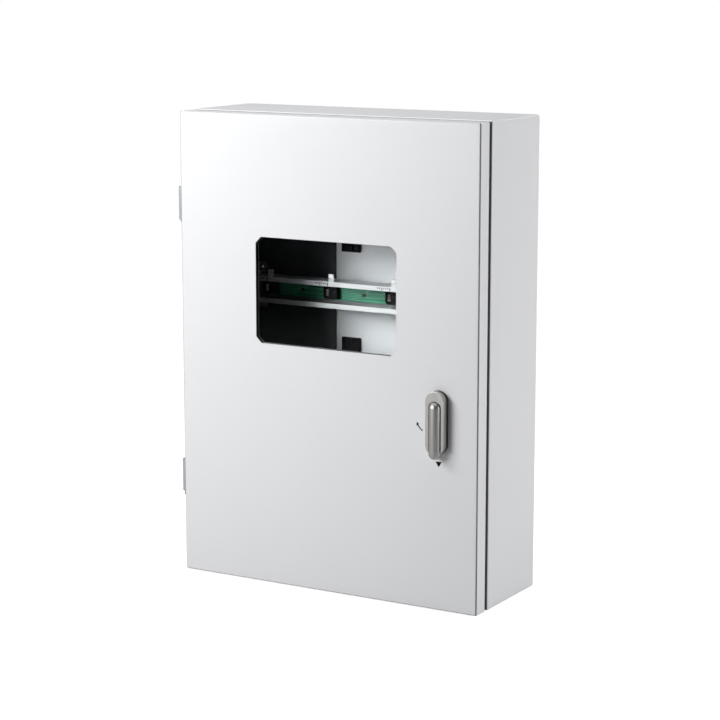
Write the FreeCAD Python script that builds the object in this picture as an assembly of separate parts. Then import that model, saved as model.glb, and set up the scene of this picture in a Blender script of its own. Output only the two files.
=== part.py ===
import FreeCAD, Part
import math
import os
from FreeCAD import Vector

# Wall-mounted sheet steel subpanel enclosure with a windowed door. Millimetres.
# +Z is up, the door faces -Y, the wall plane is Y = 0 and the origin is the
# centre of the four wall holes.

# ---- body ----
bodyWidth = 500.0
bodyHeight = 700.0
bodyDepth = 151.0
bodySheet = 1.6
bodyBend = 4.0
rimWidth = 22.0
wallHoleInsetX = 50.0
wallHoleInsetZ = 25.0
wallHoleRadius = 4.5

# ---- door ----
doorDepth = 26.0
doorGap = 9.0
doorSheet = 1.6
doorBend = 2.5
doorHem = 8.0
doorEndClearance = 1.0
gasketHeight = 12.0
gasketWidth = 12.0
gasketClearance = 0.3

# ---- window ----
windowWidth = 236.0
windowHeight = 157.0
windowCentreZ = 92.0
windowChamfer = 9.0
paneOverlap = 12.0
paneThickness = 4.0
windowGasketThickness = 2.0
frameSheet = 1.5
frameOverStud = 6.0
frameStudClearance = 0.4
windowStudRadius = 2.0
windowStudLength = 14.0
windowStudFromPane = 7.0
windowStudColumnX = 46.0

# ---- hinges ----
hingeCentreZ = 209.0
hingeLength = 50.0
hingeBarrelRadius = 5.0
hingePinRadius = 2.5
hingeSheet = 3.0
hingeAxisOut = 17.0
hingeAxisBehindDoor = 2.0
hingeBodyPlate = 34.0
hingeDoorPlate = 20.0
hingeScrewRadius = 2.5
hingeScrewLength = 11.0
hingeScrewOffsetZ = 15.0
knuckleGap = 0.3

# ---- handle ----
handleX = 188.0
handleZ = -74.0
handleWidth = 30.0
handleLength = 92.0
handleEdge = 0.8
handleGasketThickness = 1.0
basePlate = 5.0
neckRadius = 10.0
neckInside = 12.4
lockNutRadius = 14.0
lockNutThickness = 5.0
lockNutFlatDepth = 1.4
rotorThickness = 7.0
rotorGap = 0.3
shaftRadius = 6.0
squareSize = 8.0
squareClearance = 0.1
squareShort = 0.2
leverRadius = 9.2
leverLength = 83.0
leverTopFromCentre = 31.0
leverProud = 7.2
leverLift = 40.0
leverPinRadius = 1.25
leverPinHalfLength = 13.0
leverBackGap = 0.3
leverSideGap = 1.0
leverHeelGap = 0.25
pocketFloor = 1.1
camThickness = 3.0
camWidth = 16.0
camUpstandClearance = 6.4
camTipOverlap = 17.0
camRimClearance = 0.2
camScrewRadius = 2.5
camScrewLength = 14.0

# ---- printed marks ----
markThickness = 0.15
markWidth = 10.0
markHeight = 8.0
markBelowHandle = 11.0
arrowCentreX = -16.5
arrowCentreZ = 3.0
arrowRadius = 20.0
arrowTail = 242.0
arrowNeck = 210.0
arrowTip = 197.0
arrowLine = 1.6
arrowHead = 5.0

# ---- mounting subpanel ----
panelMarginX = 30.0
panelMarginZ = 40.0
panelSheet = 2.0
panelCorner = 6.0
panelStandoff = 27.4
panelStudInset = 15.0
panelStudRadius = 4.0
panelStudLength = 42.0
spacerRadius = 7.0

# ---- black insulating panel ----
insulatorWidth = 143.0
insulatorMarginZ = 30.0
insulatorThickness = 3.0
insulatorInset = 4.0
insulatorScrewInset = 12.0
insulatorMiddleScrewZ = -90.0
insulatorNotchClearance = 1.0

# ---- rail and circuit board ----
railEndMargin = 3.0
railHeight = 40.0
railDepth = 32.0
railSheet = 1.5
railLip = 7.0
railCentreZ = 75.0
railStandoff = 18.0
tabWidth = 9.0
tabHeight = 11.5
tabFirstX = -159.5
modulePitch = 107.0
moduleCount = 4
bracketWidth = 20.0
bracketSheet = 2.0
bracketFoot = 14.0
bracketScrewLength = 8.0
boardEndMargin = 27.0
boardHeight = 22.0
boardThickness = 1.6
boardInsulator = 3.0
boardScrewRadius = 1.5
boardScrewLength = 8.5
boardScrewFromTab = 42.0
connectorFromTab = -12.0
connectorWidth = 24.0
connectorHeight = 18.0
connectorDepth = 9.0
connectorChamfer = 3.0
socketWidth = 7.5
socketHeight = 13.0
socketDepth = 6.0
socketOffset = -6.0
contactSize = 1.2
contactPitch = 2.8
contactLength = 5.0
contactRows = 4
contactColumns = 2

# ---- latch clips ----
clipFromTab = 7.0
clipWidth = 31.0
clipHeight = 30.0
clipDepth = 5.0
clipRecess = 3.0
clipFrame = 3.0
clipCentreZ = 70.0
clipFromCentre = 65.3
clipPegRadius = 2.0
clipPegOffset = 10.0
hookWidth = 8.0
hookHeight = 6.0
hookProud = 2.0

# ---- gland plate ----
glandCutX = 300.0
glandCutY = 90.0
glandCentreY = -80.0
glandBorder = 12.0
glandPlate = 2.0
glandGasket = 2.0
glandScrewRadius = 2.5
glandScrewInnerX = 52.0
glandScrewClearEnd = 0.1

# ---- earthing ----
earthStudRadius = 3.0
earthStudLength = 18.0
bodyEarthX = -100.0
bodyEarthFromBottom = 22.0
doorEarthFromSide = 70.0
doorEarthFromBottom = 59.0
earthBarFromSide = 100.0
earthBarFromBottom = 60.0
earthBarLength = 100.0
earthBarHeight = 12.0
earthBarThickness = 8.0
earthPostRadius = 4.5
earthPostHeight = 12.0
earthPostInset = 8.0
earthTerminalCount = 6
earthTerminalPitch = 12.0
earthTerminalDepth = 4.0

# ---- fasteners and fits ----
smallScrewRadius = 2.0
boreClearance = 0.4
threadClearance = 0.05
turnClearance = 0.05
pressClearance = 0.02
washerThickness = 1.0
headRadiusRatio = 1.9
headHeightRatio = 1.3
headEdgeRatio = 0.5
recessDepthRatio = 0.7
recessWidthRatio = 0.4
recessReachRatio = 1.1
nutFlatRatio = 1.65
nutHeightRatio = 1.6
washerRadiusRatio = 2.1

# ---- planes and lines shared by several pieces ----
halfWidth = bodyWidth / 2
halfHeight = bodyHeight / 2
wallHoleX = halfWidth - wallHoleInsetX
wallHoleZ = halfHeight - wallHoleInsetZ
panelWidth = bodyWidth - 2 * panelMarginX
panelHeight = bodyHeight - 2 * panelMarginZ
insulatorHeight = panelHeight - 2 * insulatorMarginZ
railLength = panelWidth - 2 * railEndMargin
boardLength = railLength - 2 * boardEndMargin
doorHalfHeight = halfHeight - doorEndClearance
doorBackY = -(bodyDepth + doorGap)
doorFrontY = doorBackY - doorDepth
doorInnerY = doorFrontY + doorSheet
rimBackY = bodySheet - bodyDepth
upstandX = halfWidth - rimWidth
upstandZ = halfHeight - rimWidth
upstandTipY = doorInnerY + gasketHeight + gasketClearance
panelBackY = -(bodySheet + panelStandoff)
panelFrontY = panelBackY - panelSheet
insulatorFrontY = panelFrontY - insulatorThickness
railBackY = panelFrontY - railStandoff
railFrontY = railBackY - railDepth
webFrontY = railBackY - railSheet
stripFrontY = webFrontY - boardInsulator
boardFrontY = stripFrontY - boardThickness
bracketX = (railLength - bracketWidth) / 2
bracketFootZ = railHeight / 2 + bracketFoot / 2
tabXs = [tabFirstX + modulePitch * i for i in range(moduleCount)]
clipXs = [x + clipFromTab for x in tabXs[1:]]
boardScrewXs = [x + boardScrewFromTab for x in tabXs[:-1]]
paneHalfX = windowWidth / 2 + paneOverlap
paneHalfZ = windowHeight / 2 + paneOverlap
windowStudX = paneHalfX + windowStudFromPane
windowStudZ = paneHalfZ + windowStudFromPane
paneBackY = doorInnerY + windowGasketThickness + paneThickness
hingeAxisX = -(halfWidth + hingeAxisOut)
hingeAxisY = doorBackY + hingeAxisBehindDoor
baseBackY = doorFrontY - handleGasketThickness
baseFrontY = baseBackY - basePlate
neckEndY = doorInnerY + neckInside
rotorBackY = baseFrontY - rotorGap
rotorFrontY = rotorBackY - rotorThickness
shoulderY = neckEndY + rotorGap
pocketY = rotorBackY - pocketFloor
leverBackY = pocketY - leverBackGap
leverAxisY = rotorFrontY - leverProud + leverRadius
leverTopZ = handleZ + leverTopFromCentre
leverPinZ = leverTopZ - leverRadius
camBackY = shoulderY + camThickness
camTipFrontY = rimBackY + camRimClearance
upstandInnerX = upstandX - bodySheet
earthBarX = panelWidth / 2 - earthBarFromSide
earthBarZ = earthBarFromBottom - panelHeight / 2
bodyEarthZ = bodyEarthFromBottom - halfHeight
doorEarthX = doorEarthFromSide - halfWidth
doorEarthZ = doorEarthFromBottom - doorHalfHeight
glandPlateHalfX = glandCutX / 2 + glandBorder
glandPlateHalfY = glandCutY / 2 + glandBorder
bottomInnerZ = bodySheet - halfHeight
doorHoleRadius = neckRadius + boreClearance

parallelCosine = 0.999

alongX = Vector(1, 0, 0)
alongY = Vector(0, 1, 0)
alongZ = Vector(0, 0, 1)


# ---- general helpers ----
def block(x0, x1, y0, y1, z0, z1):
    return Part.makeBox(x1 - x0, y1 - y0, z1 - z0, Vector(x0, y0, z0))


def rod(x, y, z, direction, radius, length):
    return Part.makeCylinder(radius, length, Vector(x, y, z), direction)


def fuse(pieces):
    return pieces[0].multiFuse(pieces[1:]).removeSplitter()


def edgesAlong(shape, direction):
    found = []
    for edge in shape.Edges:
        step = edge.Vertexes[-1].Point.sub(edge.Vertexes[0].Point)
        if step.Length > 0 and abs(step.normalize().dot(direction)) > parallelCosine:
            found.append(edge)
    return found


def roundAlong(shape, direction, radius):
    return shape.makeFillet(radius, edgesAlong(shape, direction))


def plateY(halfX, halfZ, centreX, centreZ, y0, y1, corner=0.0):
    plate = block(centreX - halfX, centreX + halfX, y0, y1, centreZ - halfZ, centreZ + halfZ)
    return roundAlong(plate, alongY, corner) if corner else plate


def prismY(points, y0, y1):
    corners = [Vector(x, y0, z) for x, z in points]
    return Part.Face(Part.makePolygon(corners + corners[:1])).extrude(Vector(0, y1 - y0, 0))


def chamferedPlate(halfX, halfZ, chamfer, centreZ, y0, y1):
    points = []
    for signX, signZ, xFirst in ((1, 1, False), (1, -1, True), (-1, -1, False), (-1, 1, True)):
        onSide = (signX * halfX, centreZ + signZ * (halfZ - chamfer))
        onEnd = (signX * (halfX - chamfer), centreZ + signZ * halfZ)
        points += [onSide, onEnd] if xFirst else [onEnd, onSide]
    return prismY(points, y0, y1)


def oblong(halfX, halfZ, centreX, centreZ, y0, y1):
    straight = halfZ - halfX
    right = centreX + halfX
    left = centreX - halfX
    top = centreZ + straight
    bottom = centreZ - straight
    crown = (Vector(right, y0, top), Vector(centreX, y0, centreZ + halfZ), Vector(left, y0, top))
    foot = (Vector(left, y0, bottom), Vector(centreX, y0, centreZ - halfZ), Vector(right, y0, bottom))
    edges = [
        Part.makeLine(Vector(right, y0, bottom), Vector(right, y0, top)),
        Part.Arc(*crown).toShape(),
        Part.makeLine(Vector(left, y0, top), Vector(left, y0, bottom)),
        Part.Arc(*foot).toShape(),
    ]
    return Part.Face(Part.Wire(edges)).extrude(Vector(0, y1 - y0, 0))


def save(name, pieces):
    solids = pieces if isinstance(pieces, list) else [pieces]
    shape = solids[0] if len(solids) == 1 else Part.makeCompound(solids)
    shape.exportStep("parts/" + name + ".step")


# ---- fasteners ----
def turned(shape, place, direction):
    shape.Placement = FreeCAD.Placement(place, FreeCAD.Rotation(alongZ, direction))
    return shape


def screw(x, y, z, direction, radius, length):
    """Pan head screw; the point is under the head and direction leads into the work."""
    head = rod(0, 0, 0, Vector(0, 0, -1), radius * headRadiusRatio, radius * headHeightRatio)
    head = head.makeFillet(radius * headEdgeRatio, [e for e in head.Edges if e.BoundBox.ZMax < -radius])
    reach = radius * recessReachRatio
    side = radius * recessWidthRatio / 2
    bottom = -radius * headHeightRatio
    depth = radius * recessDepthRatio
    slots = [
        Part.makeBox(2 * reach, 2 * side, depth, Vector(-reach, -side, bottom)),
        Part.makeBox(2 * side, 2 * reach, depth, Vector(-side, -reach, bottom)),
    ]
    shank = Part.makeCylinder(radius, length)
    return turned(fuse([head, shank]).cut(slots), Vector(x, y, z), direction)


def nut(x, y, z, direction, radius):
    """Hexagon nut that stands on the point and grows along direction."""
    corner = radius * nutFlatRatio / math.cos(math.pi / 6)
    points = [
        Vector(corner * math.cos(math.pi / 3 * i), corner * math.sin(math.pi / 3 * i), 0) for i in range(6)
    ]
    height = radius * nutHeightRatio
    hexagon = Part.Face(Part.makePolygon(points + points[:1])).extrude(Vector(0, 0, height))
    hole = Part.makeCylinder(radius + threadClearance, height)
    return turned(hexagon.cut(hole), Vector(x, y, z), direction)


def washer(x, y, z, direction, radius):
    disc = Part.makeCylinder(radius * washerRadiusRatio, washerThickness)
    hole = Part.makeCylinder(radius + boreClearance, washerThickness)
    return turned(disc.cut(hole), Vector(x, y, z), direction)


def corners(halfX, halfZ, centreX=0.0, centreZ=0.0):
    return [(centreX + i * halfX, centreZ + j * halfZ) for i in (-1, 1) for j in (-1, 1)]


# ---- positions used by more than one piece ----
wallHoles = corners(wallHoleX, wallHoleZ)
panelStuds = corners(panelWidth / 2 - panelStudInset, panelHeight / 2 - panelStudInset)
windowStuds = corners(windowStudX, windowStudZ, 0.0, windowCentreZ)
windowStuds += corners(windowStudColumnX, windowStudZ, 0.0, windowCentreZ)
windowStuds += [(-windowStudX, windowCentreZ), (windowStudX, windowCentreZ)]
insulatorLeft = insulatorInset - panelWidth / 2
insulatorRight = insulatorLeft + insulatorWidth
insulatorScrewEndZ = insulatorHeight / 2 - insulatorScrewInset
insulatorScrews = [
    (x, z)
    for x in (insulatorLeft + insulatorScrewInset, insulatorRight - insulatorScrewInset)
    for z in (-insulatorScrewEndZ, insulatorMiddleScrewZ, insulatorScrewEndZ)
]
bracketFeet = corners(bracketX, bracketFootZ, 0.0, railCentreZ)
glandScrewX = glandCutX / 2 + glandBorder / 2
glandScrewY = glandCutY / 2 + glandBorder / 2
glandScrews = [
    (x, glandCentreY + side * glandScrewY)
    for x in (-glandScrewX, -glandScrewInnerX, glandScrewInnerX, glandScrewX)
    for side in (-1, 1)
]
hingeScrewZs = [
    side * hingeCentreZ + offset for side in (-1, 1) for offset in (-hingeScrewOffsetZ, hingeScrewOffsetZ)
]
hingeBodyScrewY = hingeAxisY + hingeBarrelRadius + hingeBodyPlate / 2
hingeDoorScrewY = hingeAxisY - hingeBarrelRadius - hingeDoorPlate / 2
earthPostXs = [earthBarX + side * (earthBarLength / 2 - earthPostInset) for side in (-1, 1)]
earthTerminalXs = [
    earthBarX + earthTerminalPitch * (i - (earthTerminalCount - 1) / 2) for i in range(earthTerminalCount)
]
clipPegs = [
    (x + offset, clipCentreZ + side * (clipFromCentre + clipHeight / 2))
    for side in (-1, 1) for x in clipXs for offset in (-clipPegOffset, clipPegOffset)
]


# ---- cabinet ----
def bodyShell():
    outer = block(-halfWidth, halfWidth, -bodyDepth, 0, -halfHeight, halfHeight)
    outer = outer.makeFillet(bodyBend, outer.Edges)
    inner = block(
        bodySheet - halfWidth, halfWidth - bodySheet, rimBackY, -bodySheet, bottomInnerZ, -bottomInnerZ
    )
    inner = inner.makeFillet(bodyBend - bodySheet, inner.Edges)
    openingX = upstandInnerX
    openingZ = upstandZ - bodySheet
    upstand = plateY(upstandX, upstandZ, 0, 0, upstandTipY, rimBackY)
    opening = plateY(openingX, openingZ, 0, 0, upstandTipY, rimBackY)
    shell = fuse([outer.cut(inner), upstand]).cut(opening)
    holes = [rod(x, -bodySheet, z, alongY, wallHoleRadius, bodySheet) for x, z in wallHoles]
    holes.append(
        block(
            -glandCutX / 2, glandCutX / 2, glandCentreY - glandCutY / 2, glandCentreY + glandCutY / 2,
            -halfHeight, bottomInnerZ,
        )
    )
    threaded = glandScrewRadius + threadClearance
    holes += [rod(x, y, -halfHeight, alongZ, threaded, bodySheet) for x, y in glandScrews]
    screwHole = hingeScrewRadius + boreClearance
    holes += [rod(-halfWidth, hingeBodyScrewY, z, alongX, screwHole, bodySheet) for z in hingeScrewZs]
    return shell.cut(holes)


def glandRing(z0, z1, openMiddle):
    plate = block(
        -glandPlateHalfX, glandPlateHalfX, glandCentreY - glandPlateHalfY, glandCentreY + glandPlateHalfY,
        z0, z1,
    )
    clear = glandScrewRadius + boreClearance
    cuts = [rod(x, y, z0, alongZ, clear, z1 - z0) for x, y in glandScrews]
    if openMiddle:
        cuts.append(
            block(
                -glandCutX / 2, glandCutX / 2, glandCentreY - glandCutY / 2, glandCentreY + glandCutY / 2,
                z0, z1,
            )
        )
    return plate.cut(cuts)


def mountingSubpanel():
    plate = plateY(panelWidth / 2, panelHeight / 2, 0, 0, panelFrontY, panelBackY, panelCorner)
    tapped = smallScrewRadius + threadClearance
    holes = [
        rod(x, panelFrontY, z, alongY, panelStudRadius + boreClearance, panelSheet) for x, z in panelStuds
    ]
    holes += [
        rod(x, panelFrontY, z, alongY, tapped, panelSheet) for x, z in insulatorScrews + bracketFeet
    ]
    holes += [rod(x, panelFrontY, earthBarZ, alongY, tapped, panelSheet) for x in earthPostXs]
    pegHole = clipPegRadius + threadClearance
    holes += [rod(x, panelFrontY, z, alongY, pegHole, panelSheet) for x, z in clipPegs]
    return plate.cut(holes)


def insulatingPanel():
    plate = block(
        insulatorLeft, insulatorRight, insulatorFrontY, panelFrontY,
        -insulatorHeight / 2, insulatorHeight / 2,
    )
    clear = smallScrewRadius + boreClearance
    cuts = [rod(x, insulatorFrontY, z, alongY, clear, insulatorThickness) for x, z in insulatorScrews]
    notchHalfZ = railHeight / 2 + bracketFoot + insulatorNotchClearance
    notchRight = bracketWidth / 2 - bracketX + insulatorNotchClearance
    cuts.append(
        block(
            insulatorLeft, notchRight, insulatorFrontY, panelFrontY,
            railCentreZ - notchHalfZ, railCentreZ + notchHalfZ,
        )
    )
    return plate.cut(cuts)


def circuitBoardRail():
    top = railCentreZ + railHeight / 2
    bottom = railCentreZ - railHeight / 2
    half = railLength / 2
    pieces = [
        block(-half, half, webFrontY, railBackY, bottom, top),
        block(-half, half, railFrontY, railBackY, top - railSheet, top),
        block(-half, half, railFrontY, railBackY, bottom, bottom + railSheet),
        block(-half, half, railFrontY, railFrontY + railSheet, top - railLip, top),
        block(-half, half, railFrontY, railFrontY + railSheet, bottom, bottom + railLip),
    ]
    for x in tabXs:
        tab = block(
            x - tabWidth / 2, x + tabWidth / 2, railFrontY, railFrontY + railSheet,
            top - railSheet, top + tabHeight,
        )
        pieces.append(tab)
    tapped = boardScrewRadius + threadClearance
    holes = [rod(x, webFrontY, railCentreZ, alongY, tapped, railSheet) for x in boardScrewXs]
    clear = smallScrewRadius + boreClearance
    holes += [rod(x, webFrontY, railCentreZ, alongY, clear, railSheet) for x in (-bracketX, bracketX)]
    return fuse(pieces).cut(holes)


def railBracket(centreX):
    left = centreX - bracketWidth / 2
    right = centreX + bracketWidth / 2
    half = railHeight / 2
    pieces = [
        block(left, right, railBackY, railBackY + bracketSheet, railCentreZ - half, railCentreZ + half)
    ]
    for side in (-1, 1):
        edge = railCentreZ + side * half
        inside = edge - side * bracketSheet
        tip = edge + side * bracketFoot
        pieces.append(block(left, right, railBackY, panelFrontY, min(edge, inside), max(edge, inside)))
        pieces.append(
            block(left, right, panelFrontY - bracketSheet, panelFrontY, min(inside, tip), max(inside, tip))
        )
    tapped = rod(centreX, railBackY, railCentreZ, alongY, smallScrewRadius + threadClearance, bracketSheet)
    clear = smallScrewRadius + boreClearance
    footFrontY = panelFrontY - bracketSheet
    feet = [
        rod(centreX, footFrontY, railCentreZ + side * bracketFootZ, alongY, clear, bracketSheet)
        for side in (-1, 1)
    ]
    return fuse(pieces).cut([tapped] + feet)


def boardLayer(y0, y1):
    layer = plateY(boardLength / 2, boardHeight / 2, 0, railCentreZ, y0, y1)
    clear = boardScrewRadius + boreClearance
    return layer.cut([rod(x, y0, railCentreZ, alongY, clear, y1 - y0) for x in boardScrewXs])


def boardConnector(centreX):
    halfX = connectorWidth / 2
    halfZ = connectorHeight / 2
    chamfer = connectorChamfer
    outline = [
        (centreX - halfX + chamfer, railCentreZ - halfZ),
        (centreX + halfX, railCentreZ - halfZ),
        (centreX + halfX, railCentreZ + halfZ),
        (centreX - halfX, railCentreZ + halfZ),
        (centreX - halfX, railCentreZ - halfZ + chamfer),
    ]
    frontY = boardFrontY - connectorDepth
    housing = prismY(outline, frontY, boardFrontY)
    socket = plateY(
        socketWidth / 2, socketHeight / 2, centreX + socketOffset, railCentreZ, frontY, frontY + socketDepth
    )
    return housing.cut(socket)


def connectorContacts(centreX):
    floorY = boardFrontY - connectorDepth + socketDepth
    found = []
    for i in range(contactColumns):
        for j in range(contactRows):
            x = centreX + socketOffset + contactPitch * (i - (contactColumns - 1) / 2)
            z = railCentreZ + contactPitch * (j - (contactRows - 1) / 2)
            found.append(plateY(contactSize / 2, contactSize / 2, x, z, floorY - contactLength, floorY))
    return found


def latchClip(centreX, side):
    centreZ = clipCentreZ + side * (clipFromCentre + clipHeight / 2)
    frontY = panelFrontY - clipDepth
    recessY = frontY + clipRecess
    frame = plateY(clipWidth / 2, clipHeight / 2, centreX, centreZ, frontY, panelFrontY)
    recess = plateY(
        clipWidth / 2 - clipFrame, clipHeight / 2 - clipFrame, centreX, centreZ, frontY, recessY
    )
    hookZ = centreZ - side * (clipHeight / 2 - clipFrame - hookHeight / 2)
    hook = plateY(hookWidth / 2, hookHeight / 2, centreX, hookZ, frontY - hookProud, recessY)
    pegs = [
        rod(centreX + offset, panelFrontY, centreZ, alongY, clipPegRadius, panelSheet)
        for offset in (-clipPegOffset, clipPegOffset)
    ]
    return fuse([frame.cut(recess), hook] + pegs)


def earthBar():
    frontY = panelFrontY - earthPostHeight - earthBarThickness
    backY = panelFrontY - earthPostHeight
    bar = plateY(earthBarLength / 2, earthBarHeight / 2, earthBarX, earthBarZ, frontY, backY)
    clear = smallScrewRadius + boreClearance
    holes = [rod(x, frontY, earthBarZ, alongY, clear, earthBarThickness) for x in earthPostXs]
    middleY = (frontY + backY) / 2
    bottomZ = earthBarZ - earthBarHeight / 2
    tapped = smallScrewRadius + threadClearance
    for x in earthTerminalXs:
        holes.append(rod(x, middleY, bottomZ, alongZ, smallScrewRadius, earthBarHeight))
        holes.append(rod(x, frontY, earthBarZ, alongY, tapped, earthTerminalDepth))
    return bar.cut(holes)


# ---- hinges ----
def hingeLeaf(centreZ, side, plateLength, spans, pinClearance, screwY):
    """side is 1 for the body's leaf and -1 for the door's."""
    near = hingeAxisY + side * hingeBarrelRadius
    far = near + side * plateLength
    inner = hingeAxisY + side * (hingeBarrelRadius - hingeSheet)
    half = hingeLength / 2
    plate = block(
        -halfWidth - hingeSheet, -halfWidth, min(inner, far), max(inner, far),
        centreZ - half, centreZ + half,
    )
    pieces = [plate]
    for low, high in spans:
        bottom = centreZ + low
        length = high - low
        pieces.append(
            block(hingeAxisX, -halfWidth, min(near, inner), max(near, inner), bottom, bottom + length)
        )
        pieces.append(rod(hingeAxisX, hingeAxisY, bottom, alongZ, hingeBarrelRadius, length))
    cuts = [
        rod(hingeAxisX, hingeAxisY, centreZ - half, alongZ, hingePinRadius + pinClearance, hingeLength)
    ]
    clear = hingeScrewRadius + boreClearance
    cuts += [
        rod(-halfWidth - hingeSheet, screwY, centreZ + offset, alongX, clear, hingeSheet)
        for offset in (-hingeScrewOffsetZ, hingeScrewOffsetZ)
    ]
    return fuse(pieces).cut(cuts)


def hingeBodyLeaf(centreZ):
    end = hingeLength / 2
    split = hingeLength / 4
    spans = [(-end, -split), (split, end)]
    return hingeLeaf(centreZ, 1, hingeBodyPlate, spans, pressClearance, hingeBodyScrewY)


def hingeDoorLeaf(centreZ):
    split = hingeLength / 4 - knuckleGap
    return hingeLeaf(centreZ, -1, hingeDoorPlate, [(-split, split)], turnClearance, hingeDoorScrewY)


# ---- door ----
def doorPanel():
    outer = plateY(halfWidth, doorHalfHeight, 0, 0, doorFrontY, doorBackY)
    front = [edge for edge in outer.Edges if edge.BoundBox.YMax < doorFrontY + doorSheet]
    outer = outer.makeFillet(doorBend, front + edgesAlong(outer, alongY))
    innerX = halfWidth - doorSheet
    innerZ = doorHalfHeight - doorSheet
    inner = plateY(innerX, innerZ, 0, 0, doorInnerY, doorBackY - doorSheet)
    front = [edge for edge in inner.Edges if edge.BoundBox.YMax < doorInnerY + doorSheet]
    inner = inner.makeFillet(doorBend - doorSheet, front + edgesAlong(inner, alongY))
    back = plateY(
        innerX - doorHem, innerZ - doorHem, 0, 0, doorBackY - doorSheet, doorBackY
    )
    cuts = [
        inner,
        back,
        chamferedPlate(
            windowWidth / 2, windowHeight / 2, windowChamfer, windowCentreZ, doorFrontY, doorInnerY
        ),
        rod(handleX, doorFrontY, handleZ, alongY, doorHoleRadius, doorSheet),
    ]
    clear = hingeScrewRadius + boreClearance
    cuts += [rod(-halfWidth, hingeDoorScrewY, z, alongX, clear, doorSheet) for z in hingeScrewZs]
    return outer.cut(cuts)


def doorGasket():
    middleX = upstandX - bodySheet / 2
    middleZ = upstandZ - bodySheet / 2
    half = gasketWidth / 2
    topY = doorInnerY + gasketHeight
    outer = plateY(middleX + half, middleZ + half, 0, 0, doorInnerY, topY, half)
    return outer.cut(plateY(middleX - half, middleZ - half, 0, 0, doorInnerY, topY))


def windowGasket():
    topY = doorInnerY + windowGasketThickness
    outer = plateY(paneHalfX, paneHalfZ, 0, windowCentreZ, doorInnerY, topY)
    inner = chamferedPlate(
        windowWidth / 2, windowHeight / 2, windowChamfer, windowCentreZ, doorInnerY, topY
    )
    return outer.cut(inner)


def windowPane():
    return plateY(paneHalfX, paneHalfZ, 0, windowCentreZ, doorInnerY + windowGasketThickness, paneBackY)


def windowFrame():
    halfX = windowStudX + frameOverStud
    halfZ = windowStudZ + frameOverStud
    backY = paneBackY + frameSheet
    outer = plateY(halfX, halfZ, 0, windowCentreZ, doorInnerY, backY)
    room = plateY(halfX - frameSheet, halfZ - frameSheet, 0, windowCentreZ, doorInnerY, paneBackY)
    opening = chamferedPlate(
        windowWidth / 2, windowHeight / 2, windowChamfer, windowCentreZ, paneBackY, backY
    )
    clear = windowStudRadius + frameStudClearance
    holes = [rod(x, paneBackY, z, alongY, clear, frameSheet) for x, z in windowStuds]
    return outer.cut([room, opening] + holes)


# ---- handle ----
def handleBase():
    plate = oblong(handleWidth / 2, handleLength / 2, handleX, handleZ, baseFrontY, baseBackY)
    rim = [edge for edge in plate.Edges if edge.BoundBox.YMax < baseFrontY + handleEdge]
    plate = plate.makeFillet(handleEdge, rim)
    neck = rod(handleX, baseBackY - handleGasketThickness, handleZ, alongY, neckRadius,
               neckEndY - baseBackY + handleGasketThickness)
    bore = rod(handleX, baseFrontY, handleZ, alongY, shaftRadius + turnClearance, neckEndY - baseFrontY)
    return fuse([plate, neck]).cut(bore)


def handleGasket():
    sheet = oblong(handleWidth / 2, handleLength / 2, handleX, handleZ, baseBackY, doorFrontY)
    return sheet.cut(rod(handleX, baseBackY, handleZ, alongY, doorHoleRadius, handleGasketThickness))


def handleLockNut():
    nutShape = rod(handleX, doorInnerY, handleZ, alongY, lockNutRadius, lockNutThickness)
    flats = [
        block(
            handleX + side * lockNutRadius - lockNutFlatDepth,
            handleX + side * lockNutRadius + lockNutFlatDepth,
            doorInnerY, doorInnerY + lockNutThickness, handleZ - lockNutRadius, handleZ + lockNutRadius,
        )
        for side in (-1, 1)
    ]
    hole = rod(handleX, doorInnerY, handleZ, alongY, neckRadius + threadClearance, lockNutThickness)
    return nutShape.cut(flats + [hole])


def handleRotor():
    plate = oblong(handleWidth / 2, handleLength / 2, handleX, handleZ, rotorFrontY, rotorBackY)
    rim = [edge for edge in plate.Edges if edge.BoundBox.YMax < rotorFrontY + handleEdge]
    plate = plate.makeFillet(handleEdge, rim)
    shaft = rod(handleX, rotorBackY - pocketFloor / 2, handleZ, alongY, shaftRadius,
                shoulderY - rotorBackY + pocketFloor / 2)
    half = squareSize / 2
    squareEnd = camBackY - squareShort
    square = plateY(half, half, handleX, handleZ, shoulderY - half, squareEnd)
    pocketHalf = leverRadius + leverSideGap
    pocketTop = leverTopZ + leverSideGap
    pocketBottom = handleZ - handleLength
    pocket = oblong(
        pocketHalf, (pocketTop - pocketBottom) / 2, handleX, (pocketTop + pocketBottom) / 2,
        rotorFrontY, pocketY,
    )
    pinHole = rod(
        handleX - leverPinHalfLength, leverAxisY, leverPinZ, alongX, leverPinRadius + pressClearance,
        2 * leverPinHalfLength,
    )
    threaded = camScrewRadius + threadClearance
    tapped = rod(handleX, squareEnd, handleZ, Vector(0, -1, 0), threaded, camScrewLength)
    return fuse([plate, shaft, square]).cut([pocket, pinHole, tapped])


def latchCam():
    half = camWidth / 2
    crankX = upstandInnerX - camUpstandClearance
    tipX = upstandInnerX + camTipOverlap
    tipBackY = camTipFrontY + camThickness
    root = block(handleX, crankX, shoulderY, camBackY, handleZ - half, handleZ + half)
    boss = rod(handleX, shoulderY, handleZ, alongY, half, camThickness)
    crank = block(crankX - camThickness, crankX, shoulderY, tipBackY, handleZ - half, handleZ + half)
    tip = block(crankX - camThickness, tipX, camTipFrontY, tipBackY, handleZ - half, handleZ + half)
    hole = squareSize / 2 + squareClearance
    square = plateY(hole, hole, handleX, handleZ, shoulderY, camBackY)
    return fuse([root, boss, crank, tip]).cut(square)


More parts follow.
